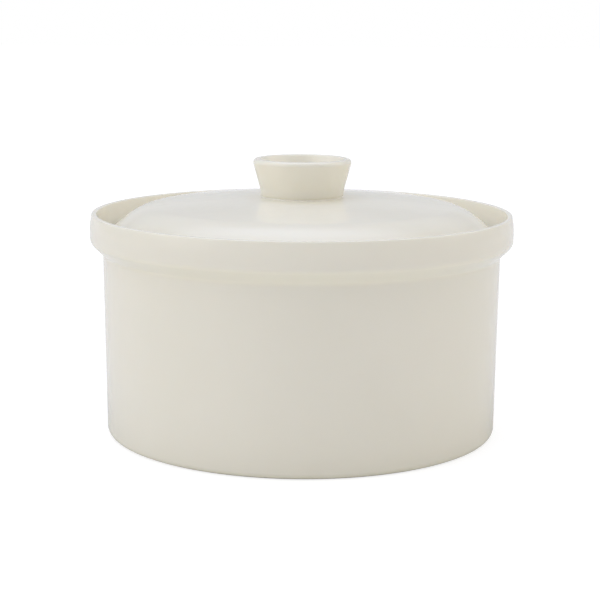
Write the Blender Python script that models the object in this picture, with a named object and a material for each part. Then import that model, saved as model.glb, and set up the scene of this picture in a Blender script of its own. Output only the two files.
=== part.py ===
"""Covered casserole dish: a round glazed ceramic dish, its lid, and the knob joined to the lid.

Metres, +Z up. The origin is on the dish's axis, on the surface that the dish stands on.

Every piece is turned about the Z axis. Its outline runs from the axis round to the axis again, as
corners of (radius, height) or (radius, height, rounding), in the piece's own frame: the dish's frame
starts at its foot, the lid's at its resting ring and the knob's where it sits on the lid's dome.
"""

import math

import bmesh
import bpy

# Driving dimensions
BAND_RADIUS = 0.1074  # widest circle, on the band round the dish's mouth
RIM_HEIGHT = 0.1121  # top of the dish's rim
WALL = 0.005  # thickness of the dish's wall at the ledge
LID_WALL = 0.0045
LID_RISE = 0.023  # from the lid's resting ring to the top of its dome
KNOB_HEIGHT = 0.0186
KNOB_FOOT_RADIUS = 0.0212
GAP = 0.0003  # clearance left between pieces that touch

# Dish: body, foot and inside
BODY_RADIUS = BAND_RADIUS - 0.0065  # outside of the body, just under the band
DRAFT = 0.0011  # how much narrower the body is at its base, outside and inside
BASE_RADIUS = BODY_RADIUS - DRAFT
BASE_ROUNDING = 0.003
FOOT_OUTER_RADIUS = BASE_RADIUS - BASE_ROUNDING
FOOT_WIDTH = 0.0065  # flat bearing face of the foot ring
FOOT_INNER_RADIUS = FOOT_OUTER_RADIUS - FOOT_WIDTH
FOOT_DEPTH = 0.002  # how far the base is recessed inside the foot ring
FOOT_SLOPE = 0.002
BASE_THICKNESS = 0.0055
FLOOR_HEIGHT = FOOT_DEPTH + BASE_THICKNESS
INSIDE_ROUNDING = 0.012

# Dish: band, rim and the ledge that carries the lid. The band's underside slopes at 45 degrees.
BAND_HEIGHT = 0.014  # from the band's lower corner to the rim's top
BAND_LOWER_RADIUS = BAND_RADIUS - 0.0002
BAND_UNDERCUT = BAND_LOWER_RADIUS - BODY_RADIUS
BAND_COVE = 0.0035
BAND_ROUNDING = 0.0045
BAND_SWELL_HEIGHT = RIM_HEIGHT - 0.006
RIM_THICKNESS = 0.0024
RIM_ROUNDING = 0.0007
RIM_OUTER_RADIUS = BAND_RADIUS - 0.00105
RIM_INNER_RADIUS = RIM_OUTER_RADIUS - RIM_THICKNESS
SEAT_RADIUS = RIM_INNER_RADIUS - 0.0012  # inside of the rim at the ledge, narrower than at its top
LEDGE_HEIGHT = RIM_HEIGHT - 0.0151
LEDGE_ROUNDING = 0.0015
INSIDE_RADIUS = BODY_RADIUS - WALL  # of the body, just under the ledge

# Lid: its dome's arcs share their centres outside and inside, a wall's thickness apart
LID_CLEARANCE = 0.0014  # between the lid's edge and the inside of the rim
LID_RADIUS = SEAT_RADIUS - LID_CLEARANCE
LID_EDGE_ROUNDING = 0.0011
CROWN_RADIUS = 0.62  # the gently domed middle
CROWN_ANGLE = math.radians(6.9)
SHOULDER_RADIUS = 0.03  # the turn from the crown down to the sloping edge
SLOPE_ANGLE = math.radians(39)

# Knob: a flared cup on a short straight foot
KNOB_FOOT_ROUNDING = 0.0008
KNOB_NECK_HEIGHT = 0.0039  # top of the straight foot
KNOB_NECK_RADIUS = KNOB_FOOT_RADIUS + 0.0003
KNOB_NECK_ROUNDING = 0.012
KNOB_FLARE = math.radians(15.3)
KNOB_LIP_ROUNDING = 0.002
KNOB_TOP_RADIUS = KNOB_NECK_RADIUS + (KNOB_HEIGHT - KNOB_NECK_HEIGHT) * math.tan(KNOB_FLARE)
RECESS_RADIUS = 0.0212
RECESS_BOTTOM_RADIUS = 0.0165
RECESS_DEPTH = 0.0095
RECESS_LIP_ROUNDING = 0.001
RECESS_ROUNDING = 0.006

# Facets
BODY_STEPS = 72
KNOB_STEPS = 48
ARC_TOLERANCE = 0.00007  # how far an arc's chords may lie from the true arc
MERGE_DISTANCE = 0.000001
SHARP_ANGLE = math.radians(50)

IVORY = (0.85, 0.815, 0.715, 1)
GLAZE_ROUGHNESS = 0.1


def clear_scene():
    for item in list(bpy.data.objects):
        bpy.data.objects.remove(item, do_unlink=True)


def arc(centre, radius, start, end):
    """Points on an arc from one angle to another, close enough to keep to the tolerance."""
    widest_step = 2 * math.acos(1 - ARC_TOLERANCE / radius)
    count = max(1, math.ceil(abs(end - start) / widest_step))
    angles = [start + (end - start) * index / count for index in range(count + 1)]
    return [(centre[0] + radius * math.cos(a), centre[1] + radius * math.sin(a)) for a in angles]


def heading(start, end):
    return math.atan2(end[1] - start[1], end[0] - start[0])


def rounded_corner(before, corner, after):
    """The arc that rounds a corner of (radius, height, rounding) between its two neighbours."""
    entering = heading(before, corner)
    turn = math.remainder(heading(corner, after) - entering, 2 * math.pi)
    side = math.copysign(math.pi / 2, turn)
    rounding = corner[2]
    setback = rounding * math.tan(abs(turn) / 2)
    centre = (
        corner[0] - setback * math.cos(entering) + rounding * math.cos(entering + side),
        corner[1] - setback * math.sin(entering) + rounding * math.sin(entering + side),
    )
    return arc(centre, rounding, entering - side, entering - side + turn)


def rounded_outline(corners):
    """An outline's points, with an arc in place of every corner that has a rounding."""
    points = [corners[0]]
    for before, corner, after in zip(corners, corners[1:], corners[2:]):
        if len(corner) == 3:
            points += rounded_corner(before, corner, after)
        else:
            points.append(corner)
    points.append(corners[-1])
    return points


def ivory_glaze(name):
    material = bpy.data.materials.new(name)
    material.use_nodes = True
    shader = material.node_tree.nodes["Principled BSDF"]
    shader.inputs["Base Color"].default_value = IVORY
    shader.inputs["Roughness"].default_value = GLAZE_ROUGHNESS
    shader.inputs["Metallic"].default_value = 0
    return material


def turned(name, outline, steps, material):
    """A solid turned about the Z axis from an outline that starts and ends on the axis."""
    shape = bmesh.new()
    corners = [shape.verts.new((radius, 0, height)) for radius, height in outline]
    edges = [shape.edges.new(pair) for pair in zip(corners, corners[1:])]
    bmesh.ops.spin(
        shape, geom=corners + edges, cent=(0, 0, 0), axis=(0, 0, 1), angle=2 * math.pi, steps=steps
    )
    bmesh.ops.remove_doubles(shape, verts=shape.verts, dist=MERGE_DISTANCE)
    bmesh.ops.recalc_face_normals(shape, faces=shape.faces)
    mesh = bpy.data.meshes.new(name)
    shape.to_mesh(mesh)
    shape.free()
    mesh.materials.append(material)
    mesh.shade_smooth()
    mesh.set_sharp_from_angle(angle=SHARP_ANGLE)
    piece = bpy.data.objects.new(name, mesh)
    bpy.context.collection.objects.link(piece)
    return piece


def dome(depth):
    """Half of the lid's dome, from its top to its slope, at a depth under the outer surface."""
    crown_centre = (0, LID_RISE - CROWN_RADIUS)
    crown_start = math.pi / 2
    shoulder_start = crown_start - CROWN_ANGLE
    slope_start = crown_start - SLOPE_ANGLE
    inset = CROWN_RADIUS - SHOULDER_RADIUS
    shoulder_centre = (
        crown_centre[0] + inset * math.cos(shoulder_start),
        crown_centre[1] + inset * math.sin(shoulder_start),
    )
    crown = arc(crown_centre, CROWN_RADIUS - depth, crown_start, shoulder_start)
    shoulder = arc(shoulder_centre, SHOULDER_RADIUS - depth, shoulder_start, slope_start)
    return crown[:-1] + shoulder


def make_dish():
    outline = rounded_outline([
        (0, FOOT_DEPTH),
        (FOOT_INNER_RADIUS - FOOT_SLOPE, FOOT_DEPTH),
        (FOOT_INNER_RADIUS, 0),
        (BASE_RADIUS, 0, BASE_ROUNDING),
        (BODY_RADIUS, RIM_HEIGHT - BAND_HEIGHT - BAND_UNDERCUT, BAND_COVE),
        (BAND_LOWER_RADIUS, RIM_HEIGHT - BAND_HEIGHT, BAND_ROUNDING),
        (BAND_RADIUS, BAND_SWELL_HEIGHT),
        (RIM_OUTER_RADIUS, RIM_HEIGHT, RIM_ROUNDING),
        (RIM_INNER_RADIUS, RIM_HEIGHT, RIM_ROUNDING),
        (SEAT_RADIUS, LEDGE_HEIGHT, LEDGE_ROUNDING),
        (INSIDE_RADIUS, LEDGE_HEIGHT, LEDGE_ROUNDING),
        (INSIDE_RADIUS - DRAFT, FLOOR_HEIGHT, INSIDE_ROUNDING),
        (0, FLOOR_HEIGHT),
    ])
    return turned("dish", outline, BODY_STEPS, ivory_glaze("dish_glaze"))


def make_lid():
    outside = dome(0)
    inside = dome(LID_WALL)
    slope = math.tan(SLOPE_ANGLE)
    edge_height = outside[-1][1] - (LID_RADIUS - outside[-1][0]) * slope
    ring_inner_radius = inside[-1][0] + inside[-1][1] / slope
    outline = rounded_outline([
        *outside,
        (LID_RADIUS, edge_height, LID_EDGE_ROUNDING),
        (LID_RADIUS, 0, LID_EDGE_ROUNDING),
        (ring_inner_radius, 0),
        *reversed(inside),
    ])
    lid = turned("lid", outline, BODY_STEPS, ivory_glaze("lid_glaze"))
    lid.location.z = LEDGE_HEIGHT + GAP
    return lid


def make_knob():
    """The knob's underside follows the lid's crown."""
    crown_drop = CROWN_RADIUS - math.sqrt(CROWN_RADIUS**2 - KNOB_FOOT_RADIUS**2)
    outline = rounded_outline([
        (0, 0),
        (KNOB_FOOT_RADIUS / 2, -crown_drop / 4),
        (KNOB_FOOT_RADIUS, -crown_drop, KNOB_FOOT_ROUNDING),
        (KNOB_NECK_RADIUS, KNOB_NECK_HEIGHT, KNOB_NECK_ROUNDING),
        (KNOB_TOP_RADIUS, KNOB_HEIGHT, KNOB_LIP_ROUNDING),
        (RECESS_RADIUS, KNOB_HEIGHT, RECESS_LIP_ROUNDING),
        (RECESS_BOTTOM_RADIUS, KNOB_HEIGHT - RECESS_DEPTH, RECESS_ROUNDING),
        (0, KNOB_HEIGHT - RECESS_DEPTH),
    ])
    knob = turned("knob", outline, KNOB_STEPS, ivory_glaze("knob_glaze"))
    knob.location.z = LID_RISE + GAP
    return knob


def main():
    clear_scene()
    dish = make_dish()
    lid = make_lid()
    lid.parent = dish
    knob = make_knob()
    knob.parent = lid


main()
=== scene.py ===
"""Looks of a covered casserole dish: the dish, its lid and its knob in glossy ivory glaze, with the bare
clay that the glaze leaves on the foot ring and on the lid's resting ring.

Each piece is turned about the Z axis, finely enough for its roundings to show. Metres, +Z up, in the
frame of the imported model: sizes that the CAD nodes' boxes give are read from them.
"""

import math

import bmesh
import bpy
from mathutils import Matrix, Vector


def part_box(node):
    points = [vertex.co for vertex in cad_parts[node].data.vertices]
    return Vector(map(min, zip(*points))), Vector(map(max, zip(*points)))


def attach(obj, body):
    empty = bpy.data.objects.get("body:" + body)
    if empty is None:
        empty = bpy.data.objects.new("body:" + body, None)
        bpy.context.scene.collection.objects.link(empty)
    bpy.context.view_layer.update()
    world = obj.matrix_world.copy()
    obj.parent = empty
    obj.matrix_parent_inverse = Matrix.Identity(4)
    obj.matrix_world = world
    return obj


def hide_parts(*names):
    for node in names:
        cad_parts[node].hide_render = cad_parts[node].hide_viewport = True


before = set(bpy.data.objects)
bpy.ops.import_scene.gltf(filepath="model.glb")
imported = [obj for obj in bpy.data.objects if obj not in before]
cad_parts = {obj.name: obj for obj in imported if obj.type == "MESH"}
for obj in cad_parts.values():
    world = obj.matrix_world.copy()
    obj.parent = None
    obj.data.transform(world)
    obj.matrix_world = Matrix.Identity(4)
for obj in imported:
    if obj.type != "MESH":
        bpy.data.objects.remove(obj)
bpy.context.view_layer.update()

DISH_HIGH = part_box("dish")[1]
LID_LOW, LID_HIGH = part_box("lid")
KNOB_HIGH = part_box("knob")[1]

# Dish: body, foot and inside
BAND_RADIUS = DISH_HIGH.x
RIM_HEIGHT = DISH_HIGH.z
WALL = 0.005
BODY_RADIUS = BAND_RADIUS - 0.0065  # outside of the body, just under the band
DRAFT = 0.0011  # how much narrower the body is at its base, outside and inside
BASE_RADIUS = BODY_RADIUS - DRAFT
BASE_ROUNDING = 0.003
BASE_THICKNESS = 0.0055
FOOT_WIDTH = 0.0065
FOOT_OUTER_RADIUS = BASE_RADIUS - BASE_ROUNDING
FOOT_INNER_RADIUS = FOOT_OUTER_RADIUS - FOOT_WIDTH
FOOT_DEPTH = 0.002  # how far the base is recessed inside the foot ring
FOOT_ROUNDING = 0.0006
FLOOR_HEIGHT = FOOT_DEPTH + BASE_THICKNESS
INSIDE_RADIUS = BODY_RADIUS - WALL
INSIDE_ROUNDING = 0.012

# Dish: band, rim and ledge. The band's underside slopes at 45 degrees.
BAND_HEIGHT = 0.014  # from the band's lower corner to the rim's top
BAND_LOWER_RADIUS = BAND_RADIUS - 0.0002
BAND_UNDERCUT = BAND_LOWER_RADIUS - BODY_RADIUS
BAND_COVE = 0.0035
BAND_ROUNDING = 0.0045
BAND_SWELL_HEIGHT = RIM_HEIGHT - 0.006
BAND_SWELL_ROUNDING = 0.02
RIM_THICKNESS = 0.0024
RIM_ROUNDING = 0.0005
RIM_OUTER_RADIUS = BAND_RADIUS - 0.00105  # the band leans in a little to the rim
RIM_INNER_RADIUS = RIM_OUTER_RADIUS - RIM_THICKNESS
SEAT_RADIUS = RIM_INNER_RADIUS - 0.0012  # inside of the rim at the ledge, narrower than at its top
LEDGE_HEIGHT = RIM_HEIGHT - 0.0151
LEDGE_ROUNDING = 0.0015

# Lid: the dome's arcs share their centres outside and inside
LID_SEAT = LID_LOW.z
LID_TOP = LID_HIGH.z
LID_RADIUS = LID_HIGH.x
LID_WALL = 0.0045
LID_EDGE_ROUNDING = 0.0011
CROWN_RADIUS = 0.62
CROWN_ANGLE = math.radians(6.9)
SHOULDER_RADIUS = 0.03
SLOPE_ANGLE = math.radians(39)

# Knob
KNOB_TOP = KNOB_HIGH.z
KNOB_FOOT_RADIUS = 0.0212
KNOB_NECK_HEIGHT = LID_TOP + 0.0042  # top of the straight foot
KNOB_NECK_RADIUS = KNOB_FOOT_RADIUS + 0.0003
KNOB_NECK_ROUNDING = 0.012
KNOB_FLARE = math.radians(15.3)
KNOB_LIP_RADIUS = KNOB_NECK_RADIUS + (KNOB_TOP - KNOB_NECK_HEIGHT) * math.tan(KNOB_FLARE)
KNOB_LIP_ROUNDING = 0.002
JOINT_HEIGHT = 0.0011  # of the soft groove where the knob was joined to the lid
JOINT_DEPTH = 0.0006
RECESS_RADIUS = 0.0212
RECESS_BOTTOM_RADIUS = 0.0165
RECESS_DEPTH = 0.0095
RECESS_LIP_ROUNDING = 0.001
RECESS_ROUNDING = 0.006

# Glaze
GLAZE_STEP = 0.0002  # how far the glaze's edge stands proud of the bare clay
GLAZE_EDGE_ANGLE = math.radians(-52)  # where it ends on the rounding under the dish
EDGE_REACH = 0.0022  # how far from an edge or a hollow the edge and hollow tints reach: thinner glaze with a painted highlight, and glaze that gathers with painted light
LEAST_BEND = 0.0001  # a smaller turn of an outline, in radians, is no edge
IVORY = (0.858, 0.823, 0.724, 1)
CLOUDED_IVORY = (0.846, 0.812, 0.712, 1)
# paler on edges: partly thinner glaze, partly a painted highlight
THIN_GLAZE_AND_HIGHLIGHT_IVORY = (0.875, 0.842, 0.745, 1)
# warmer in hollows where the glaze pools, and lighter there as painted light against the shade
POOLED_GLAZE_AND_PAINTED_LIGHT_IVORY = (0.905, 0.845, 0.68, 1)
# painted light from below, on surfaces that face downwards
UNDERSIDE_PAINTED_LIGHT_IVORY = (0.94, 0.9, 0.75, 1)

# Bare clay
CLAY = (0.70, 0.645, 0.55, 1)
CLAY_PATCH = (0.63, 0.575, 0.48, 1)
CLAY_SPECK = (0.45, 0.39, 0.31, 1)

# Floor: what the camera sees, and the light that it throws back near the dish and further off; darker near
# the dish as painted shade
FLOOR_RADIUS = 8
FLOOR_SHADE = (0.35, 0.35, 0.35, 1)
FLOOR_GLOW = 0.75
# painted shade: the floor throws back less light close to the dish
PAINTED_SHADE_NEAR_BOUNCE = (0.715, 0.715, 0.705, 1)
FAR_BOUNCE = (0.83, 0.815, 0.79, 1)

# Studio: brightness at each elevation, in degrees, and each softbox's direction, width, colour, brightness
ROOM_BRIGHTNESS = [(0, 0.65), (10, 0.67), (15, 0.47), (20, 0.51), (32, 0.47), (45, 0.3), (65, 0.17)]
SOFTBOXES = [
    ((-0.76, -0.29, 0.59), math.radians(41), (1, 0.98, 0.92, 1), 1.31),
    ((0.79, 0, 0.61), math.radians(39), (1, 0.93, 0.78, 1), 1.15),
    ((-0.07, 0.16, 0.97), math.radians(43), (0.68, 0.76, 0.99, 1), 1.86),
]

# Camera
CAMERA_PLACE = (-0.0007, -0.8, 0.2142)
CAMERA_LENS = 94.82  # millimetres, as is its sensor
CAMERA_SENSOR = 36
CAMERA_TILT = math.radians(10.48)
CAMERA_ROLL = math.radians(0.39)

# Meshes
BODY_STEPS = 240
KNOB_STEPS = 160
ARC_TOLERANCE = 0.000004
LONGEST_RUN = 0.003
MERGE_DISTANCE = 0.0000005
SHARP_ANGLE = math.radians(55)


def arc(centre, radius, start, end):
    """Points on an arc from one angle to another, close enough to keep to the tolerance."""
    widest_step = 2 * math.acos(1 - ARC_TOLERANCE / radius)
    count = max(1, math.ceil(abs(end - start) / widest_step))
    angles = [start + (end - start) * index / count for index in range(count + 1)]
    return [(centre[0] + radius * math.cos(a), centre[1] + radius * math.sin(a)) for a in angles]


def heading(start, end):
    return math.atan2(end[1] - start[1], end[0] - start[0])


def turn_between(before, corner, after):
    """How far an outline turns at a corner: above 0 where it is an outer edge, below 0 in a hollow."""
    return math.remainder(heading(corner, after) - heading(before, corner), 2 * math.pi)


def rounded_corner(before, corner, after):
    """The arc that rounds a corner of (radius, height, rounding) between its two neighbours."""
    entering = heading(before, corner)
    turn = turn_between(before, corner, after)
    side = math.copysign(math.pi / 2, turn)
    rounding = corner[2]
    setback = rounding * math.tan(abs(turn) / 2)
    centre = (
        corner[0] - setback * math.cos(entering) + rounding * math.cos(entering + side),
        corner[1] - setback * math.sin(entering) + rounding * math.sin(entering + side),
    )
    return arc(centre, rounding, entering - side, entering - side + turn)


def rounded_outline(corners):
    """An outline's points, with an arc in place of every corner that has a rounding."""
    points = [corners[0]]
    for before, corner, after in zip(corners, corners[1:], corners[2:]):
        if len(corner) == 3:
            points += rounded_corner(before, corner, after)
        else:
            points.append(corner)
    points.append(corners[-1])
    return points


def divided(points):
    """The same outline with its long straight runs cut into short ones."""
    finer = [points[0]]
    for start, end in zip(points, points[1:]):
        count = max(1, math.ceil(math.dist(start, end) / LONGEST_RUN))
        for index in range(1, count + 1):
            share = index / count
            finer.append((start[0] + (end[0] - start[0]) * share, start[1] + (end[1] - start[1]) * share))
    return finer


def edge_values(points):
    """How much of an edge (above 0, to 1) or a hollow (below 0, to -1) each point of an outline is on."""
    along = [0]
    for start, end in zip(points, points[1:]):
        along.append(along[-1] + math.dist(start, end))
    turns = [0, *map(turn_between, points, points[1:], points[2:]), 0]
    bends = [(place, turn) for place, turn in zip(along, turns) if abs(turn) > LEAST_BEND]
    values = []
    for here in along:
        near = sum(turn * max(0, 1 - abs(place - here) / EDGE_REACH) for place, turn in bends)
        values.append(max(-1, min(1, near / (math.pi / 2))))
    return values


def turned(name, outline, steps, materials, bare_below=None):
    """A solid turned from an outline that runs anticlockwise from the axis to the axis.

    It carries each point's edge value, and its second material where it is lower than bare_below."""
    points = divided(outline)
    shape = bmesh.new()
    edge_layer = shape.verts.layers.float.new("edge")
    corners = []
    for (radius, height), value in zip(points, edge_values(points)):
        corner = shape.verts.new((radius, 0, height))
        corner[edge_layer] = value
        corners.append(corner)
    edges = [shape.edges.new(pair) for pair in zip(corners, corners[1:])]
    bmesh.ops.spin(
        shape, geom=corners + edges, cent=(0, 0, 0), axis=(0, 0, 1), angle=2 * math.pi, steps=steps
    )
    bmesh.ops.remove_doubles(shape, verts=shape.verts, dist=MERGE_DISTANCE)
    bmesh.ops.recalc_face_normals(shape, faces=shape.faces)
    if bare_below is not None:
        for face in shape.faces:
            face.material_index = int(face.calc_center_median().z < bare_below)
    mesh = bpy.data.meshes.new(name)
    shape.to_mesh(mesh)
    shape.free()
    for material in materials:
        mesh.materials.append(material)
    mesh.shade_smooth()
    mesh.set_sharp_from_angle(angle=SHARP_ANGLE)
    piece = bpy.data.objects.new(name, mesh)
    bpy.context.scene.collection.objects.link(piece)
    return piece


def dome(depth):
    """Half of the lid's dome, from its slope up to its top, at a depth under the outer surface."""
    crown_centre = (0, LID_TOP - CROWN_RADIUS)
    crown_end = math.pi / 2
    shoulder_end = crown_end - CROWN_ANGLE
    slope_end = crown_end - SLOPE_ANGLE
    inset = CROWN_RADIUS - SHOULDER_RADIUS
    shoulder_centre = (
        crown_centre[0] + inset * math.cos(shoulder_end),
        crown_centre[1] + inset * math.sin(shoulder_end),
    )
    shoulder = arc(shoulder_centre, SHOULDER_RADIUS - depth, slope_end, shoulder_end)
    crown = arc(crown_centre, CROWN_RADIUS - depth, shoulder_end, crown_end)
    return shoulder[:-1] + crown


def base_rounding():
    """From the bare bearing face up to the body. The glaze stops part of the way round, in a small step."""
    centre = (FOOT_OUTER_RADIUS, BASE_ROUNDING)
    bare_centre = (FOOT_OUTER_RADIUS - GLAZE_STEP, BASE_ROUNDING)
    bare = arc(bare_centre, BASE_ROUNDING, -math.pi / 2, GLAZE_EDGE_ANGLE)
    glazed = arc(centre, BASE_ROUNDING, GLAZE_EDGE_ANGLE, 0)
    return bare + glazed


def make_dish(materials):
    under = rounded_outline([
        (0, FOOT_DEPTH),
        (FOOT_INNER_RADIUS - FOOT_DEPTH, FOOT_DEPTH, FOOT_DEPTH),
        (FOOT_INNER_RADIUS, 0, FOOT_ROUNDING),
        (FOOT_OUTER_RADIUS - GLAZE_STEP, 0),
    ])
    above = rounded_outline([
        (BASE_RADIUS, BASE_ROUNDING),
        (BODY_RADIUS, RIM_HEIGHT - BAND_HEIGHT - BAND_UNDERCUT, BAND_COVE),
        (BAND_LOWER_RADIUS, RIM_HEIGHT - BAND_HEIGHT, BAND_ROUNDING),
        (BAND_RADIUS, BAND_SWELL_HEIGHT, BAND_SWELL_ROUNDING),
        (RIM_OUTER_RADIUS, RIM_HEIGHT, RIM_ROUNDING),
        (RIM_INNER_RADIUS, RIM_HEIGHT, RIM_ROUNDING),
        (SEAT_RADIUS, LEDGE_HEIGHT, LEDGE_ROUNDING),
        (INSIDE_RADIUS, LEDGE_HEIGHT, LEDGE_ROUNDING),
        (INSIDE_RADIUS - DRAFT, FLOOR_HEIGHT, INSIDE_ROUNDING),
        (0, FLOOR_HEIGHT),
    ])
    outline = under[:-1] + base_rounding() + above[1:]
    glaze_line = BASE_ROUNDING * (1 + math.sin(GLAZE_EDGE_ANGLE))
    dish = turned("casserole_dish", outline, BODY_STEPS, materials, bare_below=glaze_line)
    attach(dish, "dish")
    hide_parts("dish")


def make_lid(materials):
    inside = dome(LID_WALL)
    outside = dome(0)
    slope = math.tan(SLOPE_ANGLE)
    edge_height = outside[0][1] - (LID_RADIUS - outside[0][0]) * slope
    ring_inner_radius = inside[0][0] + (inside[0][1] - LID_SEAT) / slope
    outline = rounded_outline([
        *reversed(inside),
        (ring_inner_radius, LID_SEAT, GLAZE_STEP),
        (LID_RADIUS, LID_SEAT, LID_EDGE_ROUNDING),
        (LID_RADIUS, edge_height, LID_EDGE_ROUNDING),
        *outside,
    ])
    lid = turned("casserole_lid", outline, BODY_STEPS, materials, bare_below=LID_SEAT + GLAZE_STEP)
    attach(lid, "lid")
    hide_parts("lid")


def make_knob(materials):
    """The groove round the knob's foot runs down to the lid's crown, so the two read as joined."""
    crown_drop = CROWN_RADIUS - math.sqrt(CROWN_RADIUS**2 - KNOB_FOOT_RADIUS**2)
    foot_height = LID_TOP - crown_drop
    outline = rounded_outline([
        (0, foot_height),
        (KNOB_FOOT_RADIUS, foot_height),
        (KNOB_FOOT_RADIUS - JOINT_DEPTH, foot_height + JOINT_HEIGHT / 2, JOINT_DEPTH),
        (KNOB_FOOT_RADIUS, foot_height + JOINT_HEIGHT, JOINT_DEPTH),
        (KNOB_NECK_RADIUS, KNOB_NECK_HEIGHT, KNOB_NECK_ROUNDING),
        (KNOB_LIP_RADIUS, KNOB_TOP, KNOB_LIP_ROUNDING),
        (RECESS_RADIUS, KNOB_TOP, RECESS_LIP_ROUNDING),
        (RECESS_BOTTOM_RADIUS, KNOB_TOP - RECESS_DEPTH, RECESS_ROUNDING),
        (0, KNOB_TOP - RECESS_DEPTH),
    ])
    knob = turned("casserole_knob", outline, KNOB_STEPS, materials)
    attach(knob, "lid")
    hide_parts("knob")


class Nodes:
    """A node tree: add makes a node, sets its inputs, and joins those that are given another's output."""

    def __init__(self, owner):
        owner.use_nodes = True
        self.tree = owner.node_tree

    def set(self, node, inputs):
        for name, value in inputs.items():
            if isinstance(value, bpy.types.NodeSocket):
                self.tree.links.new(value, node.inputs[name])
            else:
                node.inputs[name].default_value = value

    def add(self, kind, inputs, **settings):
        node = self.tree.nodes.new(kind)
        for name, value in settings.items():
            setattr(node, name, value)
        self.set(node, inputs)
        return node

    def places(self):
        """The piece's own coordinates, in metres."""
        return self.add("ShaderNodeTexCoord", {}).outputs["Object"]

    def noise(self, scale, detail):
        """Noise with about as many waves to the metre as its scale."""
        inputs = {"Vector": self.places(), "Scale": scale, "Detail": detail}
        return self.add("ShaderNodeTexNoise", inputs).outputs["Fac"]

    def rescaled(self, value, low, high, to_low, to_high, **settings):
        inputs = {"Value": value, "From Min": low, "From Max": high, "To Min": to_low, "To Max": to_high}
        return self.add("ShaderNodeMapRange", inputs, **settings).outputs["Result"]

    def mixed(self, share, first, second):
        """Two colours mixed. The node has several sockets of each name, so its colours go by number."""
        node = self.add("ShaderNodeMix", {}, data_type="RGBA")
        factor, start, end = node.inputs[0], node.inputs[6], node.inputs[7]
        self.tree.links.new(share, factor)
        for socket, colour in ((start, first), (end, second)):
            if isinstance(colour, bpy.types.NodeSocket):
                self.tree.links.new(colour, socket)
            else:
                socket.default_value = colour
        return node.outputs[2]

    def bump(self, height, distance, **inputs):
        node = self.add("ShaderNodeBump", {"Height": height, "Distance": distance, "Strength": 1, **inputs})
        return node.outputs["Normal"]

    def seen_or_felt(self, seen, felt):
        """One shader for what the camera sees directly, another for the light that reaches the pieces."""
        straight = self.add("ShaderNodeLightPath", {}).outputs["Is Camera Ray"]
        return self.add("ShaderNodeMixShader", {0: straight, 1: felt, 2: seen}).outputs[0]


def make_glaze():
    """Glossy ivory glaze: faintly clouded; paler on an edge, where it thins and where a highlight is
    painted;
    warmer where it pools in a hollow, and lighter there as painted light against the shade; and lighter
    and warmer on surfaces that face downwards, as painted light from below."""
    material = bpy.data.materials.new("ivory_glaze")
    nodes = Nodes(material)
    cloud = nodes.rescaled(nodes.noise(22, 3), 0.35, 0.65, 0, 1)
    colour = nodes.mixed(cloud, IVORY, CLOUDED_IVORY)
    edge = nodes.add("ShaderNodeAttribute", {}, attribute_name="edge").outputs["Fac"]
    # paler on edges: thinner glaze, with a painted highlight along them
    thin_glaze_and_highlight = nodes.rescaled(edge, 0.1, 0.9, 0, 0.8)
    colour = nodes.mixed(thin_glaze_and_highlight, colour, THIN_GLAZE_AND_HIGHLIGHT_IVORY)
    # warmer and lighter in hollows: pooled glaze, with painted light against the shade
    pooled_glaze_and_painted_light = nodes.rescaled(edge, -0.1, -0.9, 0, 0.9)
    colour = nodes.mixed(pooled_glaze_and_painted_light, colour, POOLED_GLAZE_AND_PAINTED_LIGHT_IVORY)
    normal = nodes.add("ShaderNodeTexCoord", {}).outputs["Normal"]
    upward = nodes.add("ShaderNodeSeparateXYZ", {0: normal}).outputs["Z"]
    # lighter and warmer on downward-facing surfaces: painted light from below
    painted_light_from_below = nodes.rescaled(upward, -0.1, -0.6, 0, 0.8)
    colour = nodes.mixed(painted_light_from_below, colour, UNDERSIDE_PAINTED_LIGHT_IVORY)
    waves = nodes.bump(nodes.noise(55, 2), 0.00012)
    peel = nodes.bump(nodes.noise(420, 2), 0.000008, Normal=waves)
    nodes.set(nodes.tree.nodes["Principled BSDF"], {
        "Base Color": colour,
        "Roughness": nodes.rescaled(nodes.noise(90, 3), 0.3, 0.7, 0.08, 0.13),
        "Normal": peel,
        "IOR": 1.5,
        "Subsurface Weight": 0.08,
        "Subsurface Radius": (0.004, 0.003, 0.002),
        "Subsurface Scale": 1,
    })
    return material


def make_bare_clay():
    """The matt, finely grained clay that the glaze leaves bare."""
    material = bpy.data.materials.new("bare_clay")
    nodes = Nodes(material)
    patches = nodes.rescaled(nodes.noise(120, 4), 0.35, 0.65, 0, 1)
    colour = nodes.mixed(patches, CLAY, CLAY_PATCH)
    grain = nodes.noise(2600, 3)
    specks = nodes.rescaled(grain, 0.62, 0.72, 0, 0.5)
    colour = nodes.mixed(specks, colour, CLAY_SPECK)
    nodes.set(nodes.tree.nodes["Principled BSDF"], {
        "Base Color": colour,
        "Roughness": 0.85,
        "Normal": nodes.bump(grain, 0.00006),
    })
    return material


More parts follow.
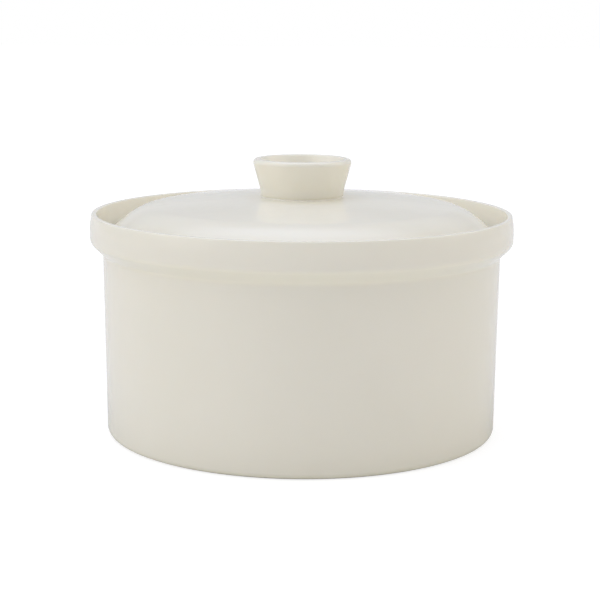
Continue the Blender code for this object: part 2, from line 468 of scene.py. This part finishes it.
def make_floor():
    """A floor that stays white, but for the soft shadow round the dish. It throws back less light than that,
    least close to the dish, where the darker bounce is painted shade."""
    bpy.ops.mesh.primitive_circle_add(vertices=96, radius=FLOOR_RADIUS, fill_type="NGON", location=(0, 0, 0))
    floor = bpy.context.object
    floor.name = "floor"
    material = bpy.data.materials.new("pale_floor")
    nodes = Nodes(material)
    seen = nodes.tree.nodes["Principled BSDF"]
    nodes.set(seen, {
        "Base Color": FLOOR_SHADE,
        "Specular IOR Level": 0,
        "Roughness": 1,
        "Emission Color": (1, 1, 1, 1),
        "Emission Strength": FLOOR_GLOW,
    })
    distance = nodes.add("ShaderNodeVectorMath", {0: nodes.places()}, operation="LENGTH").outputs["Value"]
    # painted shade: the bounce is darker close to the dish
    farness = nodes.rescaled(distance, BASE_RADIUS, 1.5 * BASE_RADIUS, 0, 1)
    bounce = nodes.mixed(farness, PAINTED_SHADE_NEAR_BOUNCE, FAR_BOUNCE)
    felt = nodes.add("ShaderNodeBsdfDiffuse", {"Color": bounce})
    surface = nodes.seen_or_felt(seen.outputs[0], felt.outputs[0])
    nodes.set(nodes.tree.nodes["Material Output"], {"Surface": surface})
    floor.data.materials.append(material)


def make_studio():
    """A pale room that darkens upwards, with a soft warm light at each side and a cooler one overhead."""
    world = bpy.data.worlds.new("studio")
    bpy.context.scene.world = world
    bpy.context.scene.view_settings.view_transform = "Standard"
    nodes = Nodes(world)
    direction = nodes.add("ShaderNodeTexCoord", {}).outputs["Generated"]
    height = nodes.add("ShaderNodeSeparateXYZ", {0: direction}).outputs["Z"]
    elevation = nodes.add("ShaderNodeMath", {0: height}, operation="ARCSINE").outputs[0]
    room = nodes.add("ShaderNodeValToRGB", {"Fac": nodes.rescaled(elevation, 0, math.pi / 2, 0, 1)})
    stops = room.color_ramp.elements
    stops.remove(stops[-1])
    for index, (degrees, brightness) in enumerate(ROOM_BRIGHTNESS):
        stop = stops[0] if index == 0 else stops.new(degrees / 90)
        stop.position = degrees / 90
        stop.color = (brightness, brightness, brightness, 1)
    light = nodes.add("ShaderNodeBackground", {"Color": room.outputs[0], "Strength": 1})
    for toward, width, colour, brightness in SOFTBOXES:
        towards = Vector(toward).normalized()
        inputs = {0: direction, 1: towards}
        facing = nodes.add("ShaderNodeVectorMath", inputs, operation="DOT_PRODUCT").outputs["Value"]
        strength = nodes.rescaled(
            facing, math.cos(width), 1, 0, brightness, interpolation_type="SMOOTHSTEP"
        )
        softbox = nodes.add("ShaderNodeBackground", {"Color": colour, "Strength": strength})
        light = nodes.add("ShaderNodeAddShader", {0: light.outputs[0], 1: softbox.outputs[0]})
    white = nodes.add("ShaderNodeBackground", {"Color": (1, 1, 1, 1), "Strength": 1})
    surface = nodes.seen_or_felt(white.outputs[0], light.outputs[0])
    nodes.set(nodes.tree.nodes["World Output"], {"Surface": surface})


def make_camera():
    """In front of the dish, a little above its lid, looking down at it."""
    camera_data = bpy.data.cameras.new("camera")
    camera_data.sensor_width = CAMERA_SENSOR
    camera_data.lens = CAMERA_LENS
    camera_data.clip_start = 0.01
    camera = bpy.data.objects.new("camera", camera_data)
    camera.location = CAMERA_PLACE
    tilt = Matrix.Rotation(math.pi / 2 - CAMERA_TILT, 3, "X")
    roll = Matrix.Rotation(CAMERA_ROLL, 3, "Z")
    camera.rotation_euler = (tilt @ roll).to_euler()
    bpy.context.scene.collection.objects.link(camera)
    bpy.context.scene.camera = camera


make_camera()
glaze = make_glaze()
bare_clay = make_bare_clay()
make_dish([glaze, bare_clay])
make_lid([glaze, bare_clay])
make_knob([glaze])
make_floor()
make_studio()
